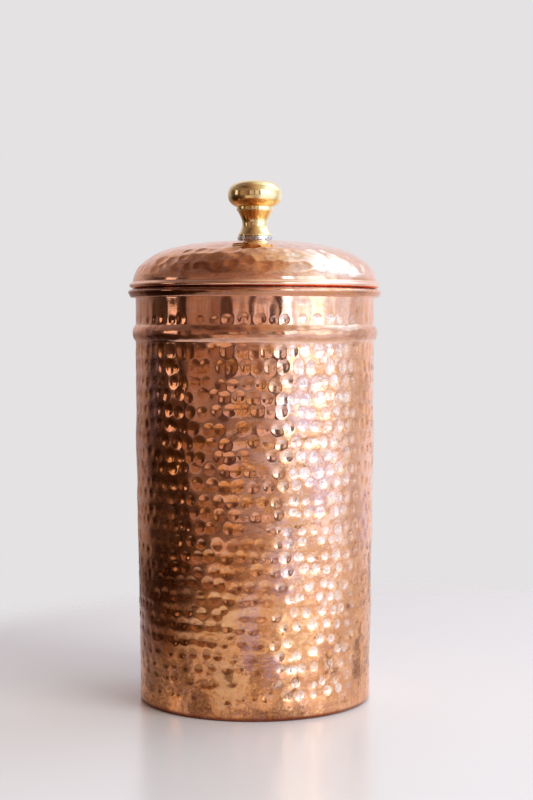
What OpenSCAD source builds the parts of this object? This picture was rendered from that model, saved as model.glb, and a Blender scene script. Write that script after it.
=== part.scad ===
// Copper storage canister with a lift-off domed lid and a turned brass knob.
// Millimetres, +Z up, origin at the centre of the foot on the surface that the canister stands on.

/* [Body] */
// Outer radius of the body wall above its taper
wall_r = 60; // [59.5:0.25:61]
// Outer radius of the body wall where it meets the foot
foot_r = 58; // [56:0.5:59]
// Height at which the taper of the wall ends
taper_h = 130; // [100:5:150]
// Height of the top of the rolled rim
rim_h = 205.4; // [195.4:1:250.4]
// Thickness of the copper sheet of the body and of the lid
sheet_t = 0.8; // [0.7:0.05:0.9]
// Width of the folded ring that the canister stands on
foot_w = 4.6; // [4:0.2:8]
// Height by which the middle of the base is pressed up
base_rise = 1.8; // [1:0.2:2.4]

/* [Neck] */
// Outer radius of the plain band between the bead and the rim
neck_r = 59.85; // [59.35:0.25:60.85]
// Height of the middle of the swaged bead, measured down from the rim
bead_drop = 21.6; // [18:0.2:40]
// Height of the bead
bead_w = 7.6; // [5:0.2:10]
// Distance by which the bead stands out of the wall
bead_out = 1.6; // [1:0.1:2]
// Distance by which the rolled rim stands out of the neck
rim_out = 3.75; // [3.7:0.05:4]
// Radius of the wire inside the rolled rim
wire_r = 1; // [0.6:0.05:1.05]

/* [Lid] */
// Height of the dome above its lip
dome_h = 20; // [14:0.5:30]
// Exponent of the dome's curve: 2 is an ellipse, and more gives a flatter crown
dome_flat = 2.85; // [2:0.05:3.2]
// Depth of the collar below the seat of the lid
collar_h = 12.4; // [8:0.2:16]
// Gap between the collar and the neck, all round
collar_gap = 0.5; // [0.4:0.1:0.8]
// Thickness of the collar's sheet
collar_t = 0.7; // [0.5:0.1:0.9]

/* [Knob] */
// Largest radius of the knob's head
knob_r = 13.55; // [12:0.25:16]
// Height of the knob above its washer
knob_h = 27.8; // [25:0.2:32]
// Radius of the knob's foot
knob_foot_r = 8.4; // [7.6:0.1:10]
// Radius of the knob's waist
knob_waist_r = 6.35; // [5.5:0.05:7]
// Radius of the plated washer under the knob
washer_r = 8.7; // [8:0.1:11]
// Thickness of the plated washer under the knob
washer_t = 2.6; // [1.6:0.2:3]

/* [Screw] */
// Radius of the screw's shank
screw_r = 2.5; // [2:0.25:3]
// Length of the screw's shank inside the knob
screw_grip = 12; // [8:0.5:15]
// Radius of the screw's pan head
head_r = 4.75; // [4.25:0.25:5.5]
// Radius of the backing washer under the dome
backing_r = 10; // [8:0.5:11]

/* [Hidden] */

copper = [0.72, 0.42, 0.28];
copper_inside = [0.80, 0.50, 0.36];
brass = [0.83, 0.64, 0.27];
plated = [0.75, 0.75, 0.76];
steel = [0.55, 0.56, 0.58];
tin = [0.70, 0.71, 0.70];

round_fn = 96;
arc_steps = 10;
half_t = sheet_t / 2;
solder_leg = 1.8;

function unit(v) = v / norm(v);

function arc(c, r, a0, a1, n = arc_steps) =
    [for (i = [0:n]) let (a = a0 + (a1 - a0) * i / n) c + r * [cos(a), sin(a)]];

// The arc of radius r that rounds the corner b between the points a and c.
function bend(a, b, c, r) =
    let (
        u = unit(a - b),
        v = unit(c - b),
        half = acos(u * v) / 2,
        centre = b + unit(u + v) * r / sin(half),
        start = b + u * r / tan(half) - centre,
        a0 = atan2(start[1], start[0]),
        side = cross(u, v) > 0 ? -1 : 1
    )
    arc(centre, r, a0, a0 + side * (180 - 2 * half));

// The left-hand normal at each point of a path, longer at a corner, so that the sheet keeps its thickness.
function normals(path) =
    let (last = len(path) - 1)
    [for (i = [0:last])
        let (
            before = unit(path[max(i, 1)] - path[max(i, 1) - 1]),
            after = unit(path[min(i, last - 1) + 1] - path[min(i, last - 1)]),
            along = unit(before + after)
        )
        [-along[1], along[0]] / max(0.5, along * before)];

module turned(profile) {
    rotate_extrude($fn = round_fn) polygon(profile);
}

// A sheet of thickness t turned about Z, with its middle on the path of [radius, height] points.
module turned_sheet(path, t) {
    n = normals(path);
    last = len(path) - 1;
    left = [for (i = [0:last]) path[i] + n[i] * t / 2];
    right = [for (i = [last:-1:0]) path[i] - n[i] * t / 2];
    turned(concat(left, right));
}

// A flat washer.
module washer(r_out, r_in, z, t) {
    turned([[r_in, z], [r_out, z], [r_out, z + t], [r_in, z + t]]);
}

// BODY

// The wall runs from the folded foot up the taper, over the bead and along the neck, to the rolled rim.
// The rim turns out over the wire, slants back in under it and ends against the neck.
bead_z = rim_h - bead_drop;
bead_arc_r = (pow(bead_w / 2, 2) + pow(bead_out, 2)) / (2 * bead_out);
bead_half_angle = asin(bead_w / 2 / bead_arc_r);
crease = 0.6;
foot_bend_r = 1.3;
rim_bend_r = 0.8;
rim_lean = 1.7;
rim_drop = 3.25;
rim_in = [neck_r - half_t, rim_h - half_t];
rim_out_top = [neck_r + rim_out + 0.1, rim_h - half_t];
rim_out_low = rim_out_top - [rim_lean, rim_drop];
rim_end = [neck_r + 0.15, rim_h - half_t - rim_drop];
wire_c = [neck_r + wire_r + 0.15, rim_h - sheet_t - wire_r - 0.2];

foot_in = [foot_r - foot_w, half_t];
foot_corner = [foot_r - half_t, half_t];
taper_top = [wall_r - half_t, taper_h];
neck_low = [neck_r - half_t, bead_z + bead_w / 2 + crease];

body_path = concat(
    [foot_in],
    bend(foot_in, foot_corner, taper_top, foot_bend_r),
    [taper_top, [wall_r - half_t, bead_z - bead_w / 2 - crease]],
    arc([wall_r + bead_out - half_t - bead_arc_r, bead_z], bead_arc_r, -bead_half_angle, bead_half_angle),
    [neck_low],
    bend(neck_low, rim_in, rim_out_top, rim_bend_r),
    bend(rim_in, rim_out_top, rim_out_low, rim_bend_r),
    bend(rim_out_top, rim_out_low, rim_end, rim_bend_r),
    [rim_end]
);

module body_wall() {
    color(copper) turned_sheet(body_path, sheet_t);
}

// Steel wire closed in by the rolled rim.
module rim_wire() {
    color(steel) rotate_extrude($fn = round_fn) translate(wire_c) circle(r = wire_r, $fn = 32);
}

// Separate bottom with a raised middle, lying on the folded ring of the wall.
base_edge_r = foot_r - half_t - foot_bend_r;
base_step_r = foot_r - foot_w - 1.8;
base_mid_z = sheet_t + half_t;

module base_disc() {
    color(copper_inside) turned_sheet([
        [0, base_mid_z + base_rise],
        [base_step_r - base_rise, base_mid_z + base_rise],
        [base_step_r, base_mid_z],
        [base_edge_r, base_mid_z]
    ], sheet_t);
}

// Fillet of solder that seals the base into the corner of the wall.
module base_solder() {
    r = foot_r - sheet_t - 0.05;
    color(tin) turned([
        [r - solder_leg, 2 * sheet_t],
        [r, 2 * sheet_t],
        [r, 2 * sheet_t + solder_leg]
    ]);
}

// LID

// The lid seats on the flat top of the rim with a hair of play.
seat_z = rim_h + 0.3;
dome_r = neck_r + 1.15;
dome_z = seat_z + 4.2;
dome_end = 0.985;
dome_steps = 26;
crown_r = 12;
lip_r = dome_r + 1.95;

// Outer face of the dome and its slope.
function dome_face(r) = dome_z + dome_h * sqrt(1 - pow(r / dome_r, dome_flat));
function dome_slope(r) =
    -dome_h * dome_flat * pow(r / dome_r, dome_flat - 1)
    / (2 * dome_r * sqrt(1 - pow(r / dome_r, dome_flat)));

crown_z = dome_face(crown_r);
dome_radii = [
    for (i = [0:dome_steps])
        crown_r + (dome_r * dome_end - crown_r) * sin(90 * i / dome_steps)
];

// Inside the neck the collar hangs from a flange that lies on the folded lip of the dome.
collar_r = neck_r - sheet_t - collar_gap;
flange_z = seat_z + sheet_t + 0.05;
flange_r = dome_r - 0.6;

waist_of_lip = [dome_r - 0.25, dome_z + 0.3];
flare_of_lip = [dome_r - 0.1, seat_z + 3.3];
edge_of_lip = [lip_r, seat_z + 1.8];
seat_of_lip = [neck_r + 1.15, seat_z + half_t];
fold_of_lip = [collar_r + 0.15, seat_z + half_t];

lid_path = concat(
    [[screw_r + 0.1, crown_z - half_t]],
    [for (r = dome_radii) [r, dome_face(r)] - half_t * unit([-dome_slope(r), 1])],
    [waist_of_lip],
    bend(waist_of_lip, flare_of_lip, edge_of_lip, 1),
    bend(flare_of_lip, edge_of_lip, seat_of_lip, 0.62),
    bend(edge_of_lip, seat_of_lip, fold_of_lip, 1),
    [fold_of_lip]
);

module lid_dome() {
    color(copper) turned_sheet(lid_path, sheet_t);
}

// Straight ring that drops into the neck and centres the lid.
module lid_collar() {
    bottom = [collar_r - collar_t / 2, seat_z - collar_h];
    top = [collar_r - collar_t / 2, flange_z + collar_t / 2];
    flange = [flange_r, flange_z + collar_t / 2];
    color(copper_inside) turned_sheet(concat([bottom], bend(bottom, top, flange, 0.6), [flange]), collar_t);
}

// Fillet of solder between the collar's flange and the wall of the dome.
module collar_solder() {
    z = flange_z + collar_t;
    color(tin) turned([
        [flange_r - solder_leg, z],
        [flange_r, z],
        [flange_r, z + solder_leg]
    ]);
}

// KNOB AND ITS FASTENERS

// Turned profile of the knob: a flared foot, a waist, a small ring and a flattened ball for a head.
knob_waist_z = 6;
knob_ring_r = 9.2;
knob_ring_z = 12.5;
knob_ring_w = 2.1;
head_z = 20.6;
head_under = 7.4;
head_flat = 2.5;

function flare(end_r, t) = knob_waist_r + (end_r - knob_waist_r) * (1 - cos(90 * t));
function ball(s) = knob_r * pow(1 - pow(s, head_flat), 1 / head_flat);

head_low = (head_z - knob_ring_z - knob_ring_w) / head_under;
knob_profile = concat(
    [[screw_r + 0.05, 0], [knob_foot_r, 0]],
    [for (i = [10:-1:1]) [flare(knob_foot_r, i / 10), 0.6 + (knob_waist_z - 0.6) * (1 - i / 10)]],
    [for (i = [0:10]) [flare(knob_ring_r - 0.5, i / 10), knob_waist_z + (knob_ring_z - knob_waist_z) * i / 10]],
    arc([knob_ring_r - 0.4, knob_ring_z + 0.4], 0.4, -90, 0, 4),
    [[knob_ring_r, knob_ring_z + knob_ring_w - 0.2]],
    [for (i = [9:-1:1]) let (s = sin(10 * i) * head_low) [ball(s), head_z - s * head_under]],
    [for (i = [0:17]) let (s = sin(5 * i)) [ball(s), head_z + s * (knob_h - head_z)]],
    [[0, knob_h], [0, screw_grip + 2], [screw_r + 0.05, screw_grip + 1]]
);
knob_z = crown_z + washer_t;

module knob() {
    color(brass) translate([0, 0, knob_z]) turned(knob_profile);
}

// Thick plated washer with rounded edges, between the knob and the crown.
module knob_washer() {
    edge = 0.7;
    color(plated) translate([0, 0, crown_z]) turned(concat(
        [[screw_r + 0.2, 0]],
        arc([washer_r - edge, edge], edge, -90, 0, 5),
        arc([washer_r - edge, washer_t - edge], edge, 0, 90, 5),
        [[screw_r + 0.2, washer_t]]
    ));
}

// Wide washer that spreads the screw's pull under the crown.
backing_t = 1.2;
backing_z = crown_z - sheet_t - backing_t;

module backing_washer() {
    color(steel) washer(backing_r, screw_r + 0.2, backing_z, backing_t);
}

// Split spring washer under the screw's head.
lock_t = 1.2;
lock_r = screw_r + 2;
lock_z = backing_z - lock_t;

module lock_washer() {
    color(steel) difference() {
        washer(lock_r, screw_r + 0.15, lock_z, lock_t);
        translate([lock_r / 2, 0, lock_z + lock_t / 2]) rotate([25, 0, 0])
            cube([lock_r + 2, 0.9, lock_t * 3], center = true);
    }
}

// Pan-head screw with a cross recess, driven up into the knob from inside the lid.
screw_head_h = 3;
screw_head_z = lock_z - screw_head_h;

module knob_screw() {
    edge = 1.2;
    tip_z = knob_z + screw_grip;
    color(steel) difference() {
        turned(concat(
            [[0, screw_head_z]],
            arc([head_r - edge, screw_head_z + edge], edge, -90, 0, 6),
            [[head_r, lock_z], [screw_r, lock_z], [screw_r, tip_z - 0.6], [screw_r - 0.6, tip_z], [0, tip_z]]
        ));
        for (a = [0, 90])
            rotate([0, 0, a]) translate([0, 0, screw_head_z + 0.2]) cube([4.6, 1.1, 2.6], center = true);
    }
}

body_wall();
rim_wire();
base_disc();
base_solder();
lid_dome();
lid_collar();
collar_solder();
knob();
knob_washer();
backing_washer();
lock_washer();
knob_screw();
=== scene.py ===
"""Looks of the hammered copper canister: beaten sheet, turned knob, metals, floor and light."""

import math

import bpy
import numpy as np
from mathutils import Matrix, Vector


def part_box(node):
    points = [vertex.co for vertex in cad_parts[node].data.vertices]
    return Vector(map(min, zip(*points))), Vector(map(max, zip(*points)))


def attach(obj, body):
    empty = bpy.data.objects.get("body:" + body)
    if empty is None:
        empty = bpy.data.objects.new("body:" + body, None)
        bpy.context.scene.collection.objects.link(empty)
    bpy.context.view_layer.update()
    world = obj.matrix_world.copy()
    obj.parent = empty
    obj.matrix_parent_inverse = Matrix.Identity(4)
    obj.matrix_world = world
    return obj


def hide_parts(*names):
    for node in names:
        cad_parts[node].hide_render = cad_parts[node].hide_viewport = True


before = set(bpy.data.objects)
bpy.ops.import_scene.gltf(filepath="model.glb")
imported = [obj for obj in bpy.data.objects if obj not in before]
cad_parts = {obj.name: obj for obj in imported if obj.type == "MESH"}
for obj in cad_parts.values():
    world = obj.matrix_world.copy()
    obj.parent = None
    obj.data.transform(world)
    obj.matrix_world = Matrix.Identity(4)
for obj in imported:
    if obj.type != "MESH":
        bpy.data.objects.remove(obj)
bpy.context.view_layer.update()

# SIZES, in millimetres, as the CAD part has them. Heights come from the frame.

MM = 0.001
SHEET = 0.8
FOOT_R = 58.0
FOOT_W = 4.6
FOOT_BEND_R = 1.3
WALL_R = 60.0
TAPER_H = 130.0
NECK_R = 59.85
BEAD_DROP = 21.6
BEAD_W = 7.6
BEAD_OUT = 1.6
CREASE = 0.6
RIM_OUT = 3.75
RIM_LEAN = 1.7
RIM_DROP = 3.25
RIM_BEND_R = 0.8
LID_PLAY = 0.3
DOME_OUT = 1.15
DOME_RISE = 4.2
DOME_H = 20.0
DOME_FLAT = 2.85
DOME_END = 0.985
CROWN_R = 12.0
LIP_OUT = 1.95
COLLAR_IN = 1.15
SCREW_R = 2.5
WASHER_T = 2.6

HALF = SHEET / 2
RIM_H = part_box("body_wall")[1].z / MM
SEAT_Z = RIM_H + LID_PLAY
BEAD_Z = RIM_H - BEAD_DROP
BEAD_LOW = BEAD_Z - BEAD_W / 2 - CREASE
BEAD_HIGH = BEAD_Z + BEAD_W / 2 + CREASE
DOME_R = NECK_R + DOME_OUT
DOME_Z = SEAT_Z + DOME_RISE


# OUTLINES: lists of [radius, height] points, as in the CAD part.


def unit(v):
    return v / np.hypot(*v)


def arc(centre, radius, start, stop, steps=10):
    """Points on an arc from the angle start to the angle stop, in degrees."""
    angles = np.radians(np.linspace(start, stop, steps + 1))
    return [np.array(centre) + radius * np.array([math.cos(a), math.sin(a)]) for a in angles]


def bend(a, b, c, radius, steps=10):
    """The arc that rounds the corner b between the points a and c."""
    a, b, c = map(np.array, (a, b, c))
    u, v = unit(a - b), unit(c - b)
    half = math.degrees(math.acos(u @ v)) / 2
    centre = b + unit(u + v) * radius / math.sin(math.radians(half))
    first = b + u * radius / math.tan(math.radians(half)) - centre
    start = math.degrees(math.atan2(first[1], first[0]))
    side = -1 if u[0] * v[1] - u[1] * v[0] > 0 else 1
    return arc(centre, radius, start, start + side * (180 - 2 * half), steps)


def finer(path, step_at):
    """The path with points added so that none are further apart than step_at says at that place."""
    points = [np.array(path[0], float)]
    for end in path[1:]:
        start, end = points[-1], np.array(end, float)
        count = max(1, math.ceil(np.hypot(*(end - start)) / step_at((start + end) / 2)))
        points += [start + (end - start) * i / count for i in range(1, count + 1)]
    return np.array(points)


def path_normals(path):
    """The left-hand normal at each point, longer at a corner, so that a sheet keeps its thickness."""
    steps = np.diff(path, axis=0)
    steps /= np.hypot(steps[:, 0], steps[:, 1])[:, None]
    before = np.vstack([steps[:1], steps])
    after = np.vstack([steps, steps[-1:]])
    along = before + after
    along /= np.hypot(along[:, 0], along[:, 1])[:, None]
    stretch = np.maximum(0.5, (along * before).sum(1))
    return np.column_stack([-along[:, 1], along[:, 0]]) / stretch[:, None]


def wall_path():
    """Middle of the body's sheet, from the folded foot to the end of the rolled rim."""
    foot_in = [FOOT_R - FOOT_W, HALF]
    foot_corner = [FOOT_R - HALF, HALF]
    taper_top = [WALL_R - HALF, TAPER_H]
    bead_arc_r = ((BEAD_W / 2) ** 2 + BEAD_OUT**2) / (2 * BEAD_OUT)
    bead_turn = math.degrees(math.asin(BEAD_W / 2 / bead_arc_r))
    neck_low = [NECK_R - HALF, BEAD_HIGH]
    rim_in = [NECK_R - HALF, RIM_H - HALF]
    rim_top = [NECK_R + RIM_OUT + 0.1, RIM_H - HALF]
    rim_low = [rim_top[0] - RIM_LEAN, rim_top[1] - RIM_DROP]
    rim_end = [NECK_R + 0.15, rim_low[1]]
    return [
        foot_in,
        *bend(foot_in, foot_corner, taper_top, FOOT_BEND_R),
        taper_top,
        [WALL_R - HALF, BEAD_LOW],
        *arc([WALL_R + BEAD_OUT - HALF - bead_arc_r, BEAD_Z], bead_arc_r, -bead_turn, bead_turn, 16),
        neck_low,
        *bend(neck_low, rim_in, rim_top, RIM_BEND_R, 6),
        *bend(rim_in, rim_top, rim_low, RIM_BEND_R, 8),
        *bend(rim_top, rim_low, rim_end, RIM_BEND_R, 8),
        rim_end,
    ]


def dome_face(r):
    return DOME_Z + DOME_H * math.sqrt(1 - (r / DOME_R) ** DOME_FLAT)


def dome_slope(r):
    reach = (r / DOME_R) ** DOME_FLAT
    return -DOME_H * DOME_FLAT * reach / r / (2 * math.sqrt(1 - reach))


CROWN_Z = dome_face(CROWN_R)


def lid_path():
    """Middle of the lid's sheet, from the screw's hole over the dome to the fold under the lip."""
    waist = [DOME_R - 0.25, DOME_Z + 0.3]
    flare = [DOME_R - 0.1, SEAT_Z + 3.3]
    edge = [DOME_R + LIP_OUT, SEAT_Z + 1.8]
    seat = [NECK_R + DOME_OUT, SEAT_Z + HALF]
    fold = [NECK_R - COLLAR_IN, SEAT_Z + HALF]
    radii = [CROWN_R + (DOME_R * DOME_END - CROWN_R) * math.sin(math.pi / 2 * i / 60) for i in range(61)]
    face = [np.array([r, dome_face(r)]) for r in radii]
    out = [unit(np.array([-dome_slope(r), 1])) for r in radii]
    return [
        [SCREW_R + 0.1, CROWN_Z - HALF],
        *[p - n * HALF for p, n in zip(face, out)],
        waist,
        *bend(waist, flare, edge, 1),
        *bend(flare, edge, seat, 0.62),
        *bend(edge, seat, fold, 1, 4),
        fold,
    ]


# MESHES


def turns(count):
    return np.arange(count) * 2 * math.pi / count


def turned(name, rows):
    """A closed mesh from rows of points, shape (rows, points round, 3), in millimetres.

    The last row joins the first."""
    count, around = rows.shape[:2]
    index = np.arange(count * around).reshape(count, around)
    below = np.roll(index, -1, axis=0)
    faces = np.stack([index, np.roll(index, -1, 1), np.roll(below, -1, 1), below], axis=-1).reshape(-1, 4)
    mesh = bpy.data.meshes.new(name)
    mesh.vertices.add(count * around)
    mesh.vertices.foreach_set("co", (rows * MM).reshape(-1).astype(np.float32))
    mesh.loops.add(faces.size)
    mesh.loops.foreach_set("vertex_index", faces.reshape(-1).astype(np.int32))
    mesh.polygons.add(len(faces))
    mesh.polygons.foreach_set("loop_start", np.arange(0, faces.size, 4, dtype=np.int32))
    mesh.update(calc_edges=True)
    mesh.validate()
    mesh.shade_smooth()
    mesh.set_sharp_from_angle(angle=math.radians(50))
    obj = bpy.data.objects.new(name, mesh)
    bpy.context.scene.collection.objects.link(obj)
    return obj


def beaten_sheet(name, path, field, marks, outer_side):
    """A turned sheet whose outer and inner faces are both pressed in by field, the depth at each point.

    path is the sheet's middle, and marks is the part of field that the hammer marks make.
    outer_side is 1 if the outer face is on the path's left, and -1 if it is on the right.
    The inner face has half as many rows."""
    normals = path_normals(path) * outer_side
    angles = turns(field.shape[1])
    short = normals / np.hypot(normals[:, 0], normals[:, 1])[:, None]
    faces = []
    for sign in (1, -1):
        points = path + normals * HALF * sign
        r = points[:, 0, None] - short[:, 0, None] * field
        z = points[:, 1, None] - short[:, 1, None] * field
        faces.append(np.stack([r * np.cos(angles), r * np.sin(angles), z], axis=-1))
    outer, inner = faces
    every_other = np.unique(np.r_[0 : len(path) : 2, len(path) - 1])
    loop = np.concatenate([outer, inner[every_other][::-1]])
    depth = np.concatenate([marks, marks[every_other][::-1]])
    if outer_side > 0:
        loop = loop[::-1]
        depth = depth[::-1]
    obj = turned(name, loop)
    layer = obj.data.attributes.new("dent", "FLOAT", "POINT")
    layer.data.foreach_set("value", depth.reshape(-1).astype(np.float32))
    return obj


def dents(place, radius, angles, marks):
    """Depth of the deepest hammer mark over rows at place, with that radius, and columns at angles."""
    depth = np.zeros((len(place), len(angles)))
    for centre, turn, tall, wide, deep, lean_up, lean_round in marks:
        rows = np.flatnonzero(np.abs(place - centre) < tall)
        if not rows.size:
            continue
        across = (angles - turn + math.pi) % (2 * math.pi) - math.pi
        columns = np.flatnonzero(np.abs(across) * radius[rows].min() < wide)
        up = ((place[rows] - centre) / tall)[:, None]
        side = across[columns][None, :] * radius[rows][:, None] / wide
        bowl = deep * (1 - up**2 - side**2) * (1 + lean_up * up + lean_round * side)
        patch = np.ix_(rows, columns)
        depth[patch] = np.maximum(depth[patch], bowl)
    return depth


def waves(rng, place, angles, length, deep, count=14):
    """Smooth unevenness: waves of about that length and depth, in millimetres, that close round the turn."""
    field = np.zeros((len(place), len(angles)))
    for _ in range(count):
        direction = rng.uniform(0, math.pi)
        size = length * rng.uniform(0.7, 1.5)
        round_waves = round(2 * math.pi * WALL_R / size * math.cos(direction))
        along_waves = 2 * math.pi / size * math.sin(direction)
        phase = rng.uniform(0, 2 * math.pi)
        field += np.cos(round_waves * angles[None, :] + along_waves * place[:, None] + phase)
    return field * deep / math.sqrt(count)


def ramp(value, low, high):
    """0 below low, 1 above high, and smooth between them."""
    t = np.clip((value - low) / (high - low), 0, 1)
    return t * t * (3 - 2 * t)


# The body's wall. The hammering starts at HAMMER_LOW, and its rows within EVEN_ROWS and above are even.
# The marks of a row are MARK_GAP apart at the foot, and closer by MARK_GAP_LESS under the bead.
# AROUND is the number of points round a sheet.

AROUND = 540
WALL_SEED = 7
HAMMER_LOW = 7.5
EVEN_ROWS = (160, 168)
MARK_GAP = 8.0
MARK_GAP_LESS = 1.7
FIRST_ROW = 3.7
ROW_GAP = 6.5
NECK_MARKS = 53
NECK_ROW = 2.3
NICKS = 70
NICK_HEIGHTS = (10, 70)


def strike(rng, place, turn, tall, wide, deep):
    """One hammer mark (place, angle, half height, half width, depth, two leans), each a little by chance."""
    size = rng.uniform(0.88, 1.14)
    return (
        place,
        turn,
        tall * size * rng.uniform(0.94, 1.06),
        wide * size * rng.uniform(0.94, 1.06),
        deep * rng.uniform(0.65, 1.2),
        rng.normal(0, 0.3),
        rng.normal(0, 0.3),
    )


class Row:
    """One turn of hammer marks round the wall, at a height that wanders a little.

    up is 0 at the foot and 1 under the bead, and even is 1 for the even rows and 0 for the rest.
    A row with odd 1 is half a gap round from one with odd 0."""

    def __init__(self, rng, height, odd):
        self.height = height
        self.up = height / BEAD_LOW
        self.even = ramp(height, *EVEN_ROWS)
        self.count = round(2 * math.pi * WALL_R / (MARK_GAP - MARK_GAP_LESS * self.up))
        self.odd = odd
        self.lean = rng.uniform(0, 2 * math.pi, 2)

    def place(self, turn):
        drift = 0.6 * np.sin(2 * turn + self.lean[0]) + 0.4 * np.sin(5 * turn + self.lean[1])
        return self.height + drift * (1 - 0.7 * self.even)

    def marks(self, rng):
        found = []
        tall = (2.5 + 0.6 * self.up) * (1 + 0.25 * self.even)
        for i in range(self.count):
            turn = (i + 0.5 * self.odd + rng.normal(0, 0.12)) * 2 * math.pi / self.count
            place = self.place(turn) + rng.normal(0, 0.45) * (1 - 0.7 * self.even)
            if rng.uniform() > 0.1 * (1 - self.up):
                found.append(strike(rng, place, turn, tall, 2.65 + 0.4 * self.up, 0.33))
            if rng.uniform() < 0.06:
                found.append(strike(rng, place + rng.normal(0, 1.6), turn + 0.05, 2.0, 2.1, 0.3))
        return found

    def groove(self, heights, angles):
        """The shallow trough that the blows leave along the row, deeper in some places than in others."""
        deep = 0.055 + 0.05 * np.sin(3 * angles + self.lean[0]) * np.sin(2 * angles + self.lean[1])
        away = (heights[:, None] - self.place(angles)[None, :]) / 2.3
        return deep * (1.25 - 0.8 * self.up) * np.exp(-(away**2))


def wall_rows(rng):
    """Rows of marks that nearly touch under the bead and thin out towards the foot."""
    rows = [Row(rng, BEAD_LOW - FIRST_ROW, 0)]
    while True:
        last = rows[-1]
        height = last.height - ROW_GAP - 0.55 * last.up - 0.4 * last.even
        if height < HAMMER_LOW + 1.5:
            return rows
        rows.append(Row(rng, height, 1 - last.odd))


def nicks(rng):
    """Short shallow creases and slips of the hammer on the lower wall."""
    found = []
    for _ in range(NICKS):
        place, turn = rng.uniform(*NICK_HEIGHTS), rng.uniform(0, 2 * math.pi)
        found.append(strike(rng, place, turn, rng.uniform(0.7, 1.2), rng.uniform(1.2, 3.5), 0.16))
    return found


def neck_marks(rng):
    """One row of marks on the neck, just above the bead, each with a faint long dent above it."""
    found = []
    for i in range(NECK_MARKS):
        turn = (i + rng.normal(0, 0.2)) * 2 * math.pi / NECK_MARKS
        found.append(strike(rng, BEAD_HIGH + NECK_ROW, turn, 2.6, 2.75, 0.32))
        found.append(strike(rng, BEAD_HIGH + 6.5, turn, rng.uniform(4, 7.5), 2.3, rng.uniform(0.02, 0.1)))
    return found


def hammered_wall():
    """The body's sheet, hammered below the bead and nearly plain on the bead, the neck and the rim."""
    rng = np.random.default_rng(WALL_SEED)

    def step(point):
        return 0.75 if point[0] > FOOT_R - 1 and point[1] > HAMMER_LOW else 1.5

    path = finer(wall_path(), step)
    height, radius = path[:, 1], path[:, 0]
    angles = turns(AROUND)
    rows = wall_rows(rng)
    struck = [mark for row in rows for mark in row.marks(rng)] + nicks(rng)
    body = dents(height, radius, angles, struck)
    body *= (1 - ramp(height, BEAD_LOW - 0.5, BEAD_LOW))[:, None]
    neck = dents(height, radius, angles, neck_marks(rng))
    neck *= ramp(height, BEAD_HIGH - 0.3, BEAD_HIGH + 0.3)[:, None]
    uneven = waves(rng, height, angles, length=24, deep=0.15) + 0.22
    uneven += sum(row.groove(height, angles) for row in rows)
    soft = waves(rng, height * 0.2, angles, length=13, deep=0.05) + 0.09
    wavy = np.maximum(waves(rng, height, angles, length=8, deep=0.11) + 0.12, 0)
    uneven += waves(rng, height, angles, length=9, deep=0.045)
    # Where each of them shows, from the foot to the rim
    beaten = ramp(height, 3, 12) * (1 - ramp(height, BEAD_LOW - 2, BEAD_LOW + 1))
    plain = ramp(height, BEAD_HIGH, BEAD_HIGH + 4) * (1 - ramp(height, RIM_H - 8, RIM_H - 4))
    swage = ramp(height, BEAD_LOW, BEAD_LOW + 1.5) * (1 - ramp(height, BEAD_HIGH - 1.5, BEAD_HIGH))
    rolled = ramp(radius, NECK_R + 1.5, NECK_R + 2.5) * (height > RIM_H - 6)
    field = body + neck + uneven * beaten[:, None] + soft * plain[:, None]
    field *= (radius < NECK_R + 1)[:, None] * (height < RIM_H - 2)[:, None]
    field += wavy * (swage - 0.4 * rolled)[:, None]
    return beaten_sheet("hammered_wall", path, field, body + neck, -1)


# The lid

LID_SEED = 11
LID_MARK_GAP = 7.3
LID_ROW_GAP = 6.2
LID_FIRST_ROW = 3.2
LID_LAST_ROW = 13


def lid_marks(rng, end, lid_radius):
    """Rows of marks round the dome, from the lip to the washer, as (distance along the sheet, ...)."""
    marks = []
    place = end - LID_FIRST_ROW
    row = 0
    while place > LID_LAST_ROW:
        count = max(8, round(2 * math.pi * lid_radius(place) / LID_MARK_GAP))
        for i in range(count):
            turn = (i + 0.5 * (row % 2) + rng.normal(0, 0.24)) * 2 * math.pi / count
            size = rng.uniform(0.72, 1.15)
            marks.append(strike(rng, place + rng.normal(0, 1.2), turn, 3.5 * size, 3.9 * size, 0.29 * size))
        place -= LID_ROW_GAP
        row += 1
    return marks


def hammered_lid():
    """The lid's sheet, hammered from the washer to the lip."""
    rng = np.random.default_rng(LID_SEED)
    path = finer(lid_path(), lambda p: 0.8)
    radius = path[:, 0]
    place = np.r_[0, np.cumsum(np.hypot(*np.diff(path, axis=0).T))]
    end = place[np.argmax(path[:, 1] < SEAT_Z + 7.5)]

    def lid_radius(at):
        return float(np.interp(at, place, radius))

    angles = turns(AROUND)
    stop = 1 - ramp(place, end - 0.4, end + 0.6)
    marks = dents(place, radius, angles, lid_marks(rng, end, lid_radius))
    field = marks + 0.2 + waves(rng, place, angles, length=20, deep=0.12)
    field *= (stop * ramp(place, 8, 11))[:, None]
    return beaten_sheet("hammered_lid", path, field, marks, 1)


# The knob

KNOB_AROUND = 160
KNOB_R = 13.55
KNOB_FOOT_R = 8.4
KNOB_WAIST_R = 6.35
KNOB_WAIST_Z = 6.0
KNOB_RING_R = 9.2
KNOB_RING_Z = 12.5
KNOB_RING_W = 2.1
KNOB_HEAD_Z = 20.6
KNOB_HEAD_UNDER = 7.4
KNOB_HEAD_FLAT = 2.5
KNOB_GRIP = 12.0
KNOB_Z = CROWN_Z + WASHER_T
KNOB_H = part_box("knob")[1].z / MM - KNOB_Z


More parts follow.
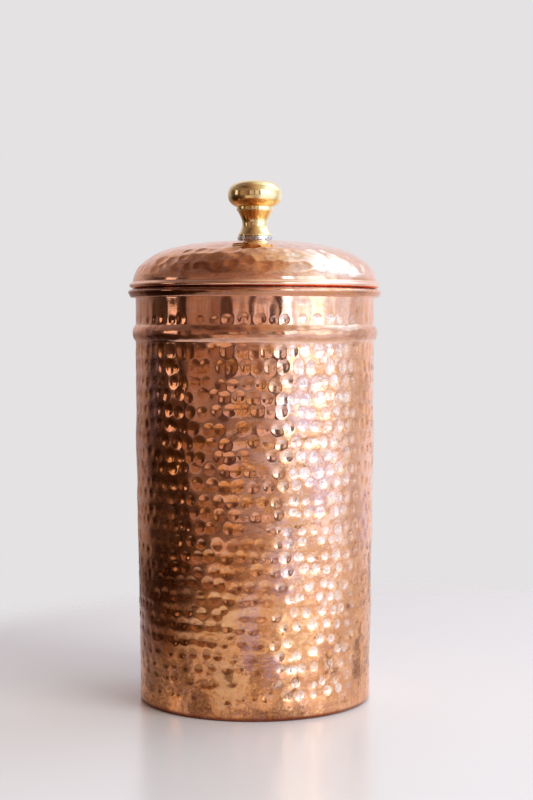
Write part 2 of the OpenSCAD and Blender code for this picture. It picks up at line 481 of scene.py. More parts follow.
def knob_path():
    """The knob's outline, from the screw's hole round the outside and back into the hole."""

    def flare(end, t):
        return KNOB_WAIST_R + (end - KNOB_WAIST_R) * (1 - math.cos(math.pi / 2 * t))

    def ball(s):
        return KNOB_R * (1 - s**KNOB_HEAD_FLAT) ** (1 / KNOB_HEAD_FLAT)

    ring_top = KNOB_RING_Z + KNOB_RING_W
    under = (KNOB_HEAD_Z - ring_top) / KNOB_HEAD_UNDER
    foot = [
        (flare(KNOB_FOOT_R, i / 20), 0.6 + (KNOB_WAIST_Z - 0.6) * (1 - i / 20)) for i in range(20, 0, -1)
    ]
    stem = [
        (flare(KNOB_RING_R - 0.5, i / 20), KNOB_WAIST_Z + (KNOB_RING_Z - KNOB_WAIST_Z) * i / 20)
        for i in range(21)
    ]
    below = [math.sin(math.pi / 2 * i / 24) * under for i in range(23, 0, -1)]
    above = [math.sin(math.pi / 2 * i / 40) for i in range(40)]
    return [
        (SCREW_R + 0.05, 0),
        (KNOB_FOOT_R, 0),
        *foot,
        *stem,
        *arc([KNOB_RING_R - 0.4, KNOB_RING_Z + 0.4], 0.4, -90, 0, 5),
        *arc([KNOB_RING_R - 0.3, ring_top - 0.3], 0.3, 0, 60, 4),
        *[(ball(s), KNOB_HEAD_Z - s * KNOB_HEAD_UNDER) for s in below],
        *[(ball(s), KNOB_HEAD_Z + s * (KNOB_H - KNOB_HEAD_Z)) for s in above],
        (0.05, KNOB_H),
        (0.05, KNOB_GRIP + 2),
        (SCREW_R + 0.05, KNOB_GRIP + 1),
    ]


def turned_knob():
    path = np.array(knob_path(), float) + [0, KNOB_Z]
    angles = turns(KNOB_AROUND)
    radius = path[:, 0, None]
    height = np.repeat(path[:, 1, None], KNOB_AROUND, axis=1)
    rows = np.stack([radius * np.cos(angles), radius * np.sin(angles), height], axis=-1)
    return turned("turned_knob", rows)


# MATERIALS

DEGREES = 180 / math.pi


class Shader:
    """A material's nodes, with its surface coordinates in millimetres."""

    def __init__(self, name):
        self.material = bpy.data.materials.new(name)
        self.material.use_nodes = True
        self.tree = self.material.node_tree
        self.surface = self.tree.nodes["Principled BSDF"]
        place = self.add("ShaderNodeTexCoord").outputs["Object"]
        scale = self.add("ShaderNodeVectorMath", operation="SCALE")
        self.tree.links.new(place, scale.inputs[0])
        scale.inputs["Scale"].default_value = 1 / MM
        self.place = scale.outputs[0]

    def add(self, kind, **settings):
        node = self.tree.nodes.new(kind)
        for key, value in settings.items():
            setattr(node, key, value)
        return node

    def put(self, socket, value):
        if isinstance(value, bpy.types.NodeSocket):
            self.tree.links.new(value, socket)
        else:
            socket.default_value = value

    def math(self, operation, a, b=0.0, clamp=False):
        node = self.add("ShaderNodeMath", operation=operation, use_clamp=clamp)
        self.put(node.inputs[0], a)
        self.put(node.inputs[1], b)
        return node.outputs[0]

    def times(self, product, *factors):
        """The product of the values."""
        for factor in factors:
            product = self.math("MULTIPLY", product, factor)
        return product

    def heading(self, x, y):
        """The angle of x and y round from the front, in degrees, growing to the right."""
        return self.times(self.math("ARCTAN2", x, self.times(y, -1.0)), DEGREES)

    def stretch(self, x, y, z):
        """The coordinates scaled by x, y and z."""
        node = self.add("ShaderNodeVectorMath", operation="MULTIPLY")
        self.put(node.inputs[0], self.place)
        node.inputs[1].default_value = (x, y, z)
        return node.outputs[0]

    def noise(self, size, detail=3.0, rough=0.5, distort=0.0, place=None, seed=0.0):
        """Noise from 0 to 1 with features of about that size in millimetres."""
        node = self.add("ShaderNodeTexNoise", noise_dimensions="4D")
        self.put(node.inputs["Vector"], place or self.place)
        self.put(node.inputs["W"], seed)
        self.put(node.inputs["Scale"], 1 / size)
        self.put(node.inputs["Detail"], detail)
        self.put(node.inputs["Roughness"], rough)
        self.put(node.inputs["Distortion"], distort)
        return node.outputs[0]

    def span(self, value, low, high, out_low=0.0, out_high=1.0, kind="SMOOTHSTEP"):
        """value's range from low to high, smoothed, as out_low to out_high."""
        node = self.add("ShaderNodeMapRange", interpolation_type=kind)
        self.put(node.inputs["Value"], value)
        self.put(node.inputs["From Min"], low)
        self.put(node.inputs["From Max"], high)
        self.put(node.inputs["To Min"], out_low)
        self.put(node.inputs["To Max"], out_high)
        return node.outputs[0]

    def split(self, vector):
        node = self.add("ShaderNodeSeparateXYZ")
        self.put(node.inputs[0], vector)
        return node.outputs

    def between(self, value, low, high, soft=1.0):
        """1 where value is between low and high, and 0 elsewhere."""
        up = self.span(value, low - soft, low + soft)
        down = self.span(value, high - soft, high + soft, 1, 0)
        return self.times(up, down)

    def mix(self, share, a, b):
        """Colour a where share is 0 and b where it is 1."""
        node = self.add("ShaderNodeMix", data_type="RGBA")
        self.put(node.inputs[0], share)
        for socket, value in ((node.inputs[6], a), (node.inputs[7], b)):
            self.put(socket, (*value, 1) if isinstance(value, tuple) else value)
        return node.outputs[2]

    def bump(self, height, distance, strength=1.0, normal=None):
        """A bump of that distance in millimetres for a height from 0 to 1."""
        node = self.add("ShaderNodeBump")
        self.put(node.inputs["Height"], height)
        self.put(node.inputs["Distance"], distance * MM)
        self.put(node.inputs["Strength"], strength)
        if normal:
            self.put(node.inputs["Normal"], normal)
        return node.outputs[0]

    def finish(self, color, rough, normal=None, metallic=1.0):
        self.put(self.surface.inputs["Base Color"], color)
        self.put(self.surface.inputs["Roughness"], rough)
        self.put(self.surface.inputs["Metallic"], metallic)
        if normal:
            self.put(self.surface.inputs["Normal"], normal)
        return self.material


# A height between the foot and the rim.
MIDDLE_H = 100

# Patches on the beaten copper, as (angle from the front, height, half width, half height).
# The angles and the widths are in degrees, and the heights in millimetres.
PATINA = {
    # Dark tarnish; the patches on the left are painted shade as well.
    "stain_and_shade": [
        (-36, 20, 7, 14),
        (-27, 8, 7, 11),
        (-36, 60, 12, 13),
        (-52, 52, 13, 44),
        (-46, 96, 10, 22),
        (-56, 128, 7, 24),
        (-56, 156, 5, 30),
        (-62, 16, 9, 12),
        (-66, 40, 9, 20),
        (60, 24, 5, 12),
        (78, 66, 6, 18),
        (12, 3, 20, 5),
        (-150, 40, 16, 22),
        (140, 96, 9, 16),
        (105, 30, 9, 26),
    ],
    # Cleaner copper that the tarnish spares; the two in front on the left are a painted reflection of the
    # lit floor.
    "fresh_and_reflection": [
        (-17, 51, 15, 11),
        (-12, 18, 12, 14),
        (20, 40, 14, 16),
        (-104, 100, 16, 14),
        (160, 30, 20, 16),
    ],
    "haze": [
        (-3, 44, 6, 26),
        (14, 74, 9, 26),
        (31, 112, 9, 18),
        (8, 26, 6, 8),
        (-54, 160, 7, 34),
        (-78, 136, 8, 26),
        (22, 150, 9, 18),
        (66, 90, 7, 24),
        (170, 70, 18, 30),
        (-120, 150, 12, 20),
    ],
}

# The colour of each coat on the beaten copper, tarnish and painted light and shade.
TINTS = {
    "golden": (0.94, 0.42, 0.14),
    "tinted": (0.78, 0.38, 0.18),
    "worn": (0.98, 0.70, 0.58),
    "brown": (0.48, 0.19, 0.075),
    "dark": (0.44, 0.17, 0.06),
    "pale": (1.0, 0.62, 0.36),
    "drip": (0.46, 0.19, 0.07),
    # painted shade in the lower bowls on the left
    "bowl_shade": (0.34, 0.15, 0.06),
    # cleaner copper, and in front on the left a painted reflection of the lit floor
    "fresh_and_reflection": (1.0, 0.56, 0.26),
    # painted highlight in the bowls right of the front
    "disc": (1.0, 0.84, 0.74),
    "grit": (0.70, 0.31, 0.14),
    "between_grit": (1.0, 0.64, 0.38),
    "band": (0.82, 0.43, 0.23),
    # painted shade in a strip on the left
    "umber": (0.50, 0.18, 0.06),
    "rolled": (0.56, 0.23, 0.10),
    # painted shade on the rim's left side
    "rim_shade": (0.22, 0.085, 0.045),
    "bead": (0.62, 0.31, 0.19),
    # painted highlight along the creases of the bead
    "crease": (0.84, 0.50, 0.35),
    # painted highlight along the lip of the lid
    "lip": (1.0, 0.68, 0.52),
    "lid_soot": (0.50, 0.25, 0.17),
    "lid_glow": (0.98, 0.50, 0.22),
    "streak": (0.66, 0.36, 0.24),
    # painted highlight on the right side of the lid
    "lit": (1.0, 0.80, 0.70),
    "pale_crown": (0.90, 0.78, 0.72),
    "haze": (0.56, 0.36, 0.44),
    "vein": (0.66, 0.40, 0.52),
    # painted shade on the lower left
    "lower_left_shade": (0.22, 0.06, 0.015),
}

# What each coat adds to the roughness.
ROUGHER = {
    "golden": 0.03,
    "brown": 0.08,
    "stain_and_shade": 0.12,
    "haze": 0.05,
    "dark": 0.08,
    "lip": 0.08,
    "bead": 0.15,
}


class BeatenCopper(Shader):
    """Copper with coats of tarnish and of painted light and shade, one over another. turn is the angle from
    the front, in degrees.

    bowl and ridge tell the hammer marks from what stands between them, and the other fields are noise
    or fade with the height."""

    def __init__(self):
        super().__init__("beaten_copper")
        x, y, self.height = self.split(self.place)
        self.turn = self.heading(x, y)
        dent = self.add("ShaderNodeAttribute", attribute_name="dent").outputs["Fac"]
        self.bowl = self.span(dent, 0.03, 0.14)
        self.ridge = self.span(dent, 0.0, 0.07, 1, 0)
        self.broad = self.noise(42, detail=5, rough=0.6, distort=0.8)
        flat = self.stretch(0.8, 0.8, 1.3)
        flatter = self.stretch(0.7, 0.7, 1.5)
        self.cloud = self.noise(15, detail=7, rough=0.66, distort=1.3, place=flat, seed=3)
        self.mottle = self.noise(4.5, detail=6, rough=0.68, distort=1.2, place=flatter, seed=18)
        self.speck = self.noise(0.9, detail=4, rough=0.7, seed=5)
        self.wisp = self.noise(5, detail=6, rough=0.65, distort=2.0, seed=14)
        self.lower = self.span(self.height, 30, 130, 1, 0)
        self.body = self.span(self.height, BEAD_LOW - 3, BEAD_LOW + 1, 1, 0.3)
        self.masks = {}
        self.color = self.mix(self.span(self.broad, 0.42, 0.58), (0.93, 0.50, 0.34), (0.86, 0.42, 0.23))

    def coat(self, name, mask, share=None, tint=None):
        """Lay a tint over the colour where mask is 1, no thicker than share."""
        self.masks[name] = mask
        thick = mask if share is None else self.times(mask, share)
        self.color = self.mix(thick, self.color, tint or TINTS[name])

    def blotches(self, spots):
        """Ragged patches at spots that are listed as in PATINA."""
        ragged = self.math("ADD", self.times(self.cloud, 3.4), self.times(self.wisp, 3.2))
        total = None
        for angle, height, wide, tall in spots:
            across = self.math("DIVIDE", self.math("SUBTRACT", self.turn, angle), wide)
            upward = self.math("DIVIDE", self.math("SUBTRACT", self.height, height), tall)
            across, upward = (self.math("POWER", self.math("ABSOLUTE", v), 2.0) for v in (across, upward))
            reach = self.math("ADD", self.math("ADD", across, upward), ragged)
            patch = self.span(reach, 3.5, 4.4, 1, 0)
            total = self.math("MAXIMUM", total, patch) if total else patch
        return total


def polish(s):
    """Golden clouds and tinted bowls, both weaker on the right, and worn ridges."""
    right = s.between(s.turn, 14, 150, 14)
    golden = s.span(s.math("ADD", s.cloud, s.times(s.lower, 0.12)), 0.49, 0.56)
    s.coat("golden", s.times(golden, s.body, s.span(right, 0, 1, 1, 0.6)), 0.85)
    tinted = s.times(s.bowl, s.span(s.mottle, 0.42, 0.56, 0, 0.5))
    s.coat("tinted", s.times(tinted, s.body, s.span(right, 0, 1, 1, 0.4)))
    worn = s.times(s.ridge, s.span(s.mottle, 0.42, 0.56, 0.1, 0.6))
    s.coat("worn", s.times(worn, s.span(s.height, 40, 110, 0.15, 1)))


def tarnish(s):
    """Brown clouds, specks and drips, painted shade in the lower bowls on the left, and the clean patches
    that most of them spare, which in front on the left are a painted reflection of the lit floor.
    """
    fresh_and_reflection = s.blotches(PATINA["fresh_and_reflection"])
    soiled = s.math("SUBTRACT", 1.0, fresh_and_reflection)
    shade = s.math("ADD", s.mottle, s.times(s.math("SUBTRACT", s.broad, 0.5), 0.9))
    brown = s.times(s.span(shade, 0.52, 0.60), s.body, soiled)
    s.coat("brown", brown, s.span(s.lower, 0, 1, 0.6, 0.85))
    grainy = s.math("MAXIMUM", s.masks["golden"], s.times(s.lower, 0.7))
    dark = s.times(s.span(s.speck, 0.50, 0.62), grainy, 0.8)
    s.coat("dark", s.times(dark, s.span(soiled, 0, 1, 0.5, 1)), 0.7)
    s.coat("pale", s.times(s.span(s.speck, 0.36, 0.46, 1, 0), grainy, 0.45))
    drip = s.noise(2.4, detail=4, rough=0.65, place=s.stretch(1, 1, 0.14), seed=41)
    s.coat("drip", s.times(s.span(drip, 0.50, 0.62), s.span(s.height, 10, 55, 0.6, 0), soiled))
    # Painted shade: the lower bowls on the left side are darkened.
    s.coat("bowl_shade", s.times(s.bowl, s.lower, s.between(s.turn, -170, -18, 14), 0.7))
    # Cleaner, brighter copper on these patches; in front on the left it is a painted reflection of the lit
    # floor.
    s.coat("fresh_and_reflection", s.times(fresh_and_reflection, s.span(s.mottle, 0.44, 0.58, 0.95, 0.35)))


def front(s):
    """Bowls right of the middle made pale as a painted highlight, gritty ridges between them, a browner
    strip further right, and painted shade in a strip on the left.
    """
    bright = s.between(s.turn, 10, 54, 8)
    # Painted highlight: the bowls right of the front are made pale where the window's reflection falls.
    s.coat("disc", s.times(bright, s.bowl, s.span(s.wisp, 0.40, 0.56, 0.95, 0.3)))
    plateau = s.times(bright, s.ridge, s.body)
    grit = s.noise(3.4, detail=7, rough=0.76, distort=0.8, seed=62)
    s.coat("grit", s.times(plateau, s.span(grit, 0.47, 0.56, 0, 0.9)))
    s.coat("between_grit", s.times(plateau, s.span(grit, 0.40, 0.48, 0.75, 0)))
    band = s.times(s.between(s.turn, 45, 64, 6), s.span(s.mottle, 0.40, 0.58, 0.15, 0.6))
    s.coat("band", s.times(band, s.body))
    # Painted shade: a darker strip on the left side, over the middle heights.
    s.coat("umber", s.times(s.between(s.turn, -66, -34, 6), s.between(s.height, 60, 155, 10)), 0.45)


def stains_and_shade(s):
    """Dark brown patches at PATINA's places and others by chance: tarnish, and on the left painted shade as
    well.
    """
    scattered = s.span(s.noise(19, detail=6, rough=0.68, distort=1.6, seed=9), 0.58, 0.65)
    scattered = s.times(scattered, s.span(s.body, 0, 1, 0.4, 1))
    # Tarnish patches, and on the left painted shade.
    stain_and_shade = s.math("MAXIMUM", s.blotches(PATINA["stain_and_shade"]), scattered)
    browned = s.mix(s.span(s.speck, 0.40, 0.60), (0.42, 0.17, 0.065), (0.16, 0.055, 0.022))
    s.coat("stain_and_shade", stain_and_shade, 0.8, browned)


def rim_and_bead(s):
    """The darker rolled rim with painted shade on its left, the bead, a painted highlight along its creases,
    and a painted highlight along the lip of the lid.
    """
    s.coat("rolled", s.between(s.height, RIM_H - 3.6, RIM_H - 1.5, 0.35), 0.75)
    # Painted shade: the rim made darker on the left side.
    rim_shade = s.between(s.height, RIM_H - 3.6, RIM_H, 0.35)
    s.coat("rim_shade", s.times(rim_shade, s.between(s.turn, -115, 0, 14)), 0.7)
    bead = s.between(s.height, BEAD_LOW + 1.2, BEAD_HIGH - 1.2, 0.6)
    s.coat("bead", s.times(bead, s.span(s.mottle, 0.40, 0.58, 0.35, 0.85)))
    # Painted highlight: paler lines along the creases above and below the bead.
    under_bead = s.between(s.height, BEAD_LOW - 0.3, BEAD_LOW + 0.7, 0.25)
    over_bead = s.between(s.height, BEAD_HIGH - 0.6, BEAD_HIGH + 0.3, 0.25)
    s.coat("crease", s.math("MAXIMUM", under_bead, over_bead), 0.6)
    # Painted highlight: a paler band along the lid's lip, weaker on the left.
    lip = s.between(s.height, SEAT_Z + 1.1, SEAT_Z + 3.7, 0.3)
    s.coat("lip", lip, s.span(s.turn, -50, 0, 0.3, 0.8))


def lid_and_neck(s):
    """Soot and glow on the lid, paler towards the crown, streaks down the neck, and a painted highlight on
    the lid's right side.
    """
    on_lid = s.span(s.height, SEAT_Z + 4, SEAT_Z + 6)
    soot = s.noise(8, detail=6, rough=0.7, distort=1.5, place=s.stretch(1, 1, 2), seed=23)
    s.coat("lid_soot", s.times(on_lid, s.span(soot, 0.47, 0.58, 0, 0.6)))
    glow = s.noise(6, detail=5, rough=0.65, distort=1.0, seed=27)
    s.coat("lid_glow", s.times(on_lid, s.span(glow, 0.52, 0.60, 0, 0.5)))
    streak = s.noise(1.8, detail=4, rough=0.65, place=s.stretch(1, 1, 0.08), seed=51)
    on_neck = s.between(s.height, BEAD_HIGH, RIM_H - 4, 1)
    s.coat("streak", s.times(s.span(streak, 0.48, 0.60, 0, 0.4), on_neck))
    # Painted highlight: the lid made paler on its right side.
    s.coat("lit", s.times(s.between(s.turn, 22, 150, 12), s.span(on_lid, 0, 1, 0, 0.36)))
    # The dome made paler towards the crown.
    s.coat("pale_crown", s.span(s.height, CROWN_Z - 9, CROWN_Z - 3, 0, 0.4))


def edges(s):
    """Painted shadow along the foot's bottom edge and painted shade in the gap under the lid, with a painted
    glow in the gap on the right.
    """
    # Painted contact shadow along the bottom edge of the foot.
    foot = s.span(s.height, 1.2, 2.6, 1, 0)
    # Painted shade in the gap between the rim and the lid.
    gap = s.times(s.between(s.height, RIM_H, SEAT_Z + 0.8, 0.2), 0.8)
    # Painted glow in the gap, on the right and above the middle height.
    upper_half = s.span(s.height, MIDDLE_H, MIDDLE_H + 1)
    painted_glow = s.times(s.span(s.turn, -30, 40), upper_half)
    tint = s.mix(painted_glow, (0.24, 0.05, 0.02), (0.80, 0.26, 0.12))
    s.coat("edges", s.math("MAXIMUM", foot, gap), 0.85, tint)


def bloom(s):
    """Violet haze and veins, and painted shade on the lower left."""
    haze = s.blotches(PATINA["haze"])
    s.coat("haze", s.times(haze, s.span(s.wisp, 0.42, 0.54)), 0.5)
    vein = s.math("ABSOLUTE", s.math("SUBTRACT", s.cloud, 0.49))
    vein = s.times(s.span(vein, 0.0, 0.012, 1, 0), s.span(s.mottle, 0.4, 0.6, 0.2, 0.9))
    s.coat("vein", vein, 0.5)
    # Painted shade: the lower left made dark, unevenly.
    lower_left_shade = s.times(s.between(s.turn, -110, -36, 8), s.between(s.height, 24, 74, 12))
    uneven = s.span(s.math("ADD", s.mottle, s.wisp), 0.85, 1.10, 0.65, 1.0)
    s.coat("lower_left_shade", s.times(lower_left_shade, uneven))


def beaten_copper():
    s = BeatenCopper()
    for lay_coats in (polish, tarnish, front, stains_and_shade, rim_and_bead, lid_and_neck, edges, bloom):
        lay_coats(s)
    rough = s.math("ADD", s.span(s.broad, 0.35, 0.65, 0.04, 0.08), s.times(s.body, 0.03))
    for name, more in ROUGHER.items():
        rough = s.math("ADD", rough, s.times(s.masks[name], more))
    grain = s.bump(s.math("ADD", s.speck, s.mottle), 0.018, strength=0.7)
    lines = s.noise(1.2, detail=3, rough=0.6, place=s.stretch(0.03, 0.03, 2.4), seed=31)
    lines = s.times(lines, s.span(s.height, BEAD_LOW - 1, BEAD_LOW + 1, 0.25, 1))
    s.surface.inputs["Specular Tint"].default_value = (1.0, 0.95, 0.92, 1)
    return s.finish(s.color, rough, s.bump(lines, 0.02, strength=0.6, normal=grain))


def satin_copper():
    s = Shader("satin_copper")
    broad = s.noise(22, detail=4, rough=0.6, distort=0.7)
    fine = s.noise(1.1, detail=5, rough=0.65, seed=4)
    color = s.mix(s.span(broad, 0.35, 0.7), (0.93, 0.58, 0.43), (0.80, 0.44, 0.30))
    spots = s.span(s.noise(6, detail=5, rough=0.7, distort=1.2, seed=8), 0.55, 0.75, 0, 0.5)
    color = s.mix(spots, color, (0.50, 0.25, 0.16))
    rough = s.span(fine, 0.3, 0.75, 0.27, 0.42)
    return s.finish(color, rough, s.bump(fine, 0.02, strength=0.5))


def polished_brass():
    s = Shader("polished_brass")
    broad = s.noise(11, detail=4, rough=0.6, distort=0.6)
    fine = s.noise(0.7, detail=4, rough=0.6, seed=2)
    lines = s.noise(0.6, detail=3, rough=0.6, place=s.stretch(0.02, 0.02, 2.0), seed=6)
    color = s.mix(s.span(broad, 0.35, 0.7), (1.0, 0.86, 0.50), (0.95, 0.76, 0.36))
    z = s.split(s.place)[2]
    # Painted reflection of the copper lid: the undersides of the head and the ring are made amber.
    under_head = s.between(z, KNOB_Z + 14.8, KNOB_Z + 17.8, 0.5)
    under_ring = s.between(z, KNOB_Z + 8.2, KNOB_Z + 12.3, 0.5)
    under = s.times(s.math("MAXIMUM", under_head, under_ring), 0.75)
    color = s.mix(under, color, (0.92, 0.48, 0.07))
    spots = s.span(s.noise(2.5, detail=5, rough=0.7, distort=1.0, seed=12), 0.62, 0.8, 0, 0.6)
    color = s.mix(spots, color, (0.36, 0.26, 0.12))
    rough = s.math("ADD", s.span(broad, 0.3, 0.7, 0.12, 0.2), s.span(fine, 0.55, 0.8, 0, 0.06))
    return s.finish(color, rough, s.bump(lines, 0.004, strength=0.5))


def worn_plate():
    s = Shader("worn_plate")
    patch = s.noise(1.8, detail=5, rough=0.65, distort=0.8)
    color = s.mix(s.span(patch, 0.45, 0.62), (0.86, 0.84, 0.83), (0.30, 0.24, 0.22))
    rough = s.span(patch, 0.4, 0.65, 0.12, 0.4)
    return s.finish(color, rough, s.bump(patch, 0.25, strength=0.8))


def plain_steel():
    s = Shader("plain_steel")
    patch = s.noise(3.5, detail=4, rough=0.6, distort=0.5)
    fine = s.noise(0.5, detail=4, rough=0.6, seed=3)
    color = s.mix(s.span(patch, 0.4, 0.7), (0.62, 0.62, 0.63), (0.40, 0.38, 0.36))
    rough = s.span(fine, 0.3, 0.7, 0.24, 0.4)
    return s.finish(color, rough, s.bump(fine, 0.01, strength=0.5))


def dull_solder():
    s = Shader("dull_solder")
    lump = s.noise(2.4, detail=4, rough=0.6, distort=0.5)
    color = s.mix(s.span(lump, 0.35, 0.7), (0.68, 0.69, 0.67), (0.42, 0.42, 0.41))
    rough = s.span(lump, 0.3, 0.7, 0.3, 0.52)
    return s.finish(color, rough, s.bump(lump, 0.3, strength=0.8))


# PIECES

copper = beaten_copper()
for build, node, body, slot, finish in (
    (hammered_wall, "body_wall", "vessel", "copper", copper),
    (hammered_lid, "lid_dome", "lid", "copper", copper),
    (turned_knob, "knob", "lid", "knob_brass", polished_brass()),
):
    piece = build()
    piece.data.materials.append(finish)
    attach(piece, body)
    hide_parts(node)

steel = plain_steel()
satin = satin_copper()
solder = dull_solder()
for node, finish in {
    "rim_wire": steel,
    "base_disc": satin,
    "base_solder": solder,
    "lid_collar": satin,
    "collar_solder": solder,
    "knob_washer": worn_plate(),
    "backing_washer": steel,
    "lock_washer": steel,
    "knob_screw": steel,
}.items():
    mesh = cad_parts[node].data
    mesh.materials.clear()
    mesh.materials.append(finish)


# STAGE: a plain pale floor that fades into the backdrop, the light and the camera, in metres.

BACKDROP = (0.78, 0.76, 0.77)
FLOOR_CENTRE = (0.10, 0, 0)
FLOOR_R = 0.4
FLOOR_SIDES = 96
FLOOR_FADE = (0.29, 0.38)
SOFT_BOX_AT = (0.8, -0.65, 0.8)
SOFT_BOX_SIZE = 0.8
SOFT_BOX_WATTS = 9.2
CAMERA_AT = (0.0058, -0.821, 0.1893)
CAMERA_LENS = 73.35
CAMERA_DOWN = 2.74


def stage_floor():
    ring = [(FLOOR_R * math.cos(a), FLOOR_R * math.sin(a), 0) for a in turns(FLOOR_SIDES)]
    mesh = bpy.data.meshes.new("floor")
    mesh.from_pydata(ring, [], [range(FLOOR_SIDES)])
    floor = bpy.data.objects.new("floor", mesh)
    floor.location = FLOOR_CENTRE
    bpy.context.scene.collection.objects.link(floor)
    s = Shader("pale_floor")
    s.put(s.surface.inputs["Base Color"], (0.78, 0.77, 0.775, 1))
    s.put(s.surface.inputs["Roughness"], 0.22)
    gone = s.add("ShaderNodeBsdfTransparent").outputs[0]
    distance = s.add("ShaderNodeVectorMath", operation="LENGTH")
    s.put(distance.inputs[0], s.place)
    fade = s.add("ShaderNodeMixShader")
    s.put(fade.inputs[0], s.span(distance.outputs["Value"], FLOOR_FADE[0] / MM, FLOOR_FADE[1] / MM))
    s.put(fade.inputs[1], s.surface.outputs[0])
    s.put(fade.inputs[2], gone)
    s.put(s.tree.nodes["Material Output"].inputs["Surface"], fade.outputs[0])
    mesh.materials.append(s.material)


class Sky(Shader):
    """The world's nodes, where each colour is the light from that direction.

    azimuth and elevation are in degrees, from the front to the right and upwards.
    side and depth, from -1 to 1, are how far to the right and to the back a direction points."""

    def __init__(self):
        world = bpy.data.worlds.new("studio")
        bpy.context.scene.world = world
        world.use_nodes = True
        self.tree = world.node_tree
        way = self.add("ShaderNodeSeparateXYZ")
        self.put(way.inputs[0], self.add("ShaderNodeTexCoord").outputs["Generated"])
        x, y, z = way.outputs
        self.azimuth = self.heading(x, y)
        self.elevation = self.times(self.math("ARCSINE", z), DEGREES)
        self.side = x
        self.depth = y

    def ramp(self, value, *stops):
        """A colour that runs through stops, pairs of a place from -1 to 1 and a colour."""
        node = self.add("ShaderNodeValToRGB")
        self.put(node.inputs[0], self.span(value, -1, 1, 0, 1, "LINEAR"))
        spots = node.color_ramp.elements
        while len(spots) < len(stops):
            spots.new(0.5)
        for spot, (place, color) in zip(spots, stops):
            spot.position = (place + 1) / 2
            spot.color = (*color, 1)
        return node.outputs[0]

    def around(self, *stops):
        """A colour that runs through stops, pairs of an azimuth and a colour."""
        turn = self.math("DIVIDE", self.azimuth, 180.0)
        return self.ramp(turn, *[(angle / 180, color) for angle, color in stops])

    def above(self, low, high, lower, upper):
        """The colour lower under the elevation low and the colour upper over high."""
        return self.mix(self.span(self.elevation, low, high), lower, upper)

    def patch(self, color, azimuths, elevations, light, soft):
        """color with light laid over it between those azimuths and elevations."""
        across = self.between(self.azimuth, *azimuths, soft)
        upward = self.between(self.elevation, *elevations, soft * 2)
        return self.mix(self.times(across, upward), color, light)


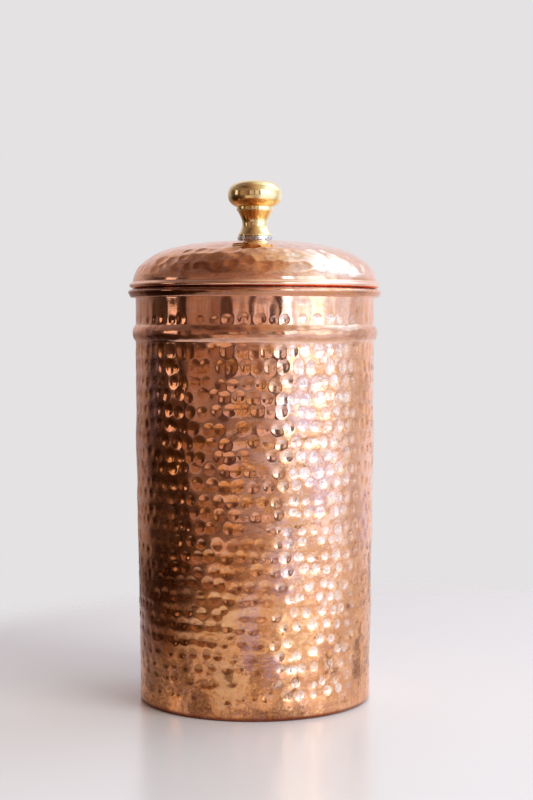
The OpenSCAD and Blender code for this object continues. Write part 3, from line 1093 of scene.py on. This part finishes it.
def studio_light():
    """A large window to the right and above, and a dim warm room to the left.

    low is the light from under the horizon, with near as a warm patch in front on the left. room is the
    walls, with upright strips of light and dark and the window's panes, and high is the top of the walls.
    ceiling is overhead, with front_ceiling before it, and wall and upper_wall are behind the canister."""
    s = Sky()
    low = s.around(
        (-150, (0.12, 0.08, 0.07)),
        (-104, (0.025, 0.011, 0.006)),
        (-77, (0.05, 0.024, 0.012)),
        (-53, (0.11, 0.06, 0.035)),
        (-30, (0.17, 0.10, 0.07)),
        (-9, (0.36, 0.25, 0.20)),
        (14, (0.60, 0.47, 0.42)),
        (34, (1.10, 1.22, 1.48)),
        (85, (1.05, 1.15, 1.40)),
        (111, (0.66, 0.60, 0.63)),
        (150, (0.76, 0.80, 0.94)),
    )
    near = s.times(s.between(s.azimuth, -44, -8, 6), s.span(s.elevation, -14, -9, 1, 0))
    low = s.mix(near, low, (0.72, 0.50, 0.36))
    room = s.around(
        (-150, (0.42, 0.34, 0.33)),
        (-125, (0.26, 0.19, 0.17)),
        (-108, (0.09, 0.055, 0.04)),
        (-95, (0.05, 0.028, 0.018)),
        (-77, (0.13, 0.07, 0.045)),
        (-57, (0.38, 0.22, 0.15)),
        (-45, (0.33, 0.19, 0.13)),
        (-36, (0.25, 0.14, 0.095)),
        (-9, (0.34, 0.24, 0.21)),
        (14, (0.54, 0.42, 0.39)),
        (30, (0.80, 0.76, 0.80)),
        (100, (0.80, 0.78, 0.85)),
        (150, (0.80, 0.83, 0.95)),
    )
    for strip in (
        ((-92, -79), (0, 30), (1.3, 0.98, 0.80), 0.7),
        ((-76, -67), (-30, 30), (0.04, 0.02, 0.013), 0.7),
        ((-31, -22), (-6, 30), (0.10, 0.055, 0.04), 0.7),
        ((-21, -5), (-2, 30), (0.70, 0.50, 0.41), 0.7),
        ((-13, -11), (-4, 30), (0.22, 0.13, 0.10), 0.4),
        ((-4, 2), (-4, 30), (0.12, 0.065, 0.045), 0.5),
        ((3, 17), (-2, 30), (0.90, 0.72, 0.66), 0.7),
        ((9, 10.5), (-3, 30), (0.35, 0.24, 0.2), 0.3),
        ((18, 26), (-5, 30), (0.11, 0.07, 0.06), 0.7),
    ):
        room = s.patch(room, *strip)
    high = s.around(
        (-150, (0.45, 0.38, 0.38)),
        (-125, (0.34, 0.26, 0.24)),
        (-103, (0.26, 0.18, 0.15)),
        (-77, (0.20, 0.125, 0.095)),
        (-53, (0.27, 0.155, 0.11)),
        (-31, (0.27, 0.15, 0.11)),
        (-9, (0.34, 0.20, 0.145)),
        (12, (0.58, 0.37, 0.26)),
        (36, (0.79, 0.74, 0.66)),
        (60, (0.95, 1.00, 1.00)),
        (85, (1.10, 1.35, 1.60)),
        (111, (1.30, 1.90, 2.50)),
        (150, (1.20, 1.50, 1.80)),
    )
    room = s.above(15, 21, room, high)
    room = s.patch(room, (27, 104), (-14, 26), (1.00, 1.12, 1.32), 1.5)
    for pane, strength in (((27, 36), 2.6), ((42, 50), 1.7), ((52, 71), 2.1), ((76, 84), 1.5)):
        daylight = (strength, strength * 1.12, strength * 1.25)
        room = s.patch(room, pane, (-3.5, 27), daylight, 0.8)
    ceiling = s.ramp(
        s.side,
        (-1.0, (0.40, 0.32, 0.32)),
        (-0.6, (0.25, 0.18, 0.17)),
        (-0.35, (0.25, 0.19, 0.17)),
        (-0.2, (0.23, 0.16, 0.12)),
        (-0.07, (0.46, 0.33, 0.25)),
        (0.08, (0.83, 0.77, 0.60)),
        (0.22, (0.90, 1.00, 0.95)),
        (0.33, (1.30, 1.60, 1.80)),
        (0.5, (2.20, 2.40, 2.70)),
        (1.0, (2.40, 2.60, 3.00)),
    )
    front_ceiling = s.ramp(
        s.side,
        (-0.95, (0.30, 0.22, 0.20)),
        (-0.66, (0.15, 0.09, 0.067)),
        (-0.55, (0.10, 0.052, 0.03)),
        (-0.33, (0.19, 0.105, 0.073)),
        (-0.12, (0.36, 0.21, 0.14)),
        (0.14, (0.61, 0.40, 0.25)),
        (0.38, (0.72, 0.60, 0.47)),
        (0.57, (0.95, 1.10, 1.20)),
        (0.66, (1.80, 2.00, 2.40)),
        (1.0, (2.40, 2.60, 3.00)),
    )
    ceiling = s.mix(s.span(s.depth, 0.0, 0.25), front_ceiling, ceiling)
    light = s.above(-10, -4, low, room)
    light = s.above(34, 44, light, ceiling)
    wall = s.ramp(s.side, (-0.9, (0.45, 0.38, 0.38)), (-0.1, (0.85, 0.78, 0.80)), (0.5, (0.98, 0.97, 1.05)))
    dim = s.times(s.span(s.elevation, -6, 12, 0.72, 0), s.span(s.side, -0.3, 0.3, 1, 0))
    wall = s.mix(dim, wall, (0.20, 0.13, 0.11))
    upper_wall = s.ramp(
        s.side,
        (-0.9, (0.40, 0.32, 0.32)),
        (-0.35, (0.26, 0.18, 0.15)),
        (-0.08, (0.50, 0.38, 0.30)),
        (0.0, (0.75, 0.62, 0.50)),
        (0.12, (1.00, 0.95, 0.85)),
        (0.22, (1.50, 1.65, 1.80)),
        (0.4, (2.60, 2.80, 3.00)),
    )
    wall = s.above(34, 46, wall, upper_wall)
    light = s.mix(s.span(s.depth, 0.45, 0.75), light, wall)
    seen = s.add("ShaderNodeLightPath").outputs["Is Camera Ray"]
    s.put(s.tree.nodes["Background"].inputs["Color"], s.mix(seen, light, BACKDROP))


def soft_box():
    """Light from above for the floor alone, so that it stays pale and the shadow soft."""
    lamp = bpy.data.lights.new("soft_box", "AREA")
    lamp.shape = "DISK"
    lamp.size = SOFT_BOX_SIZE
    lamp.energy = SOFT_BOX_WATTS
    obj = bpy.data.objects.new("soft_box", lamp)
    bpy.context.scene.collection.objects.link(obj)
    obj.location = SOFT_BOX_AT
    obj.rotation_euler = obj.location.to_track_quat("Z", "Y").to_euler()
    obj.visible_glossy = False
    obj.visible_camera = False


def camera():
    data = bpy.data.cameras.new("camera")
    data.lens = CAMERA_LENS
    data.sensor_width = 36
    obj = bpy.data.objects.new("camera", data)
    bpy.context.scene.collection.objects.link(obj)
    obj.location = CAMERA_AT
    obj.rotation_euler = (math.radians(90 - CAMERA_DOWN), 0, 0)
    bpy.context.scene.camera = obj


stage_floor()
studio_light()
soft_box()
camera()
bpy.context.scene.view_settings.view_transform = "Standard"
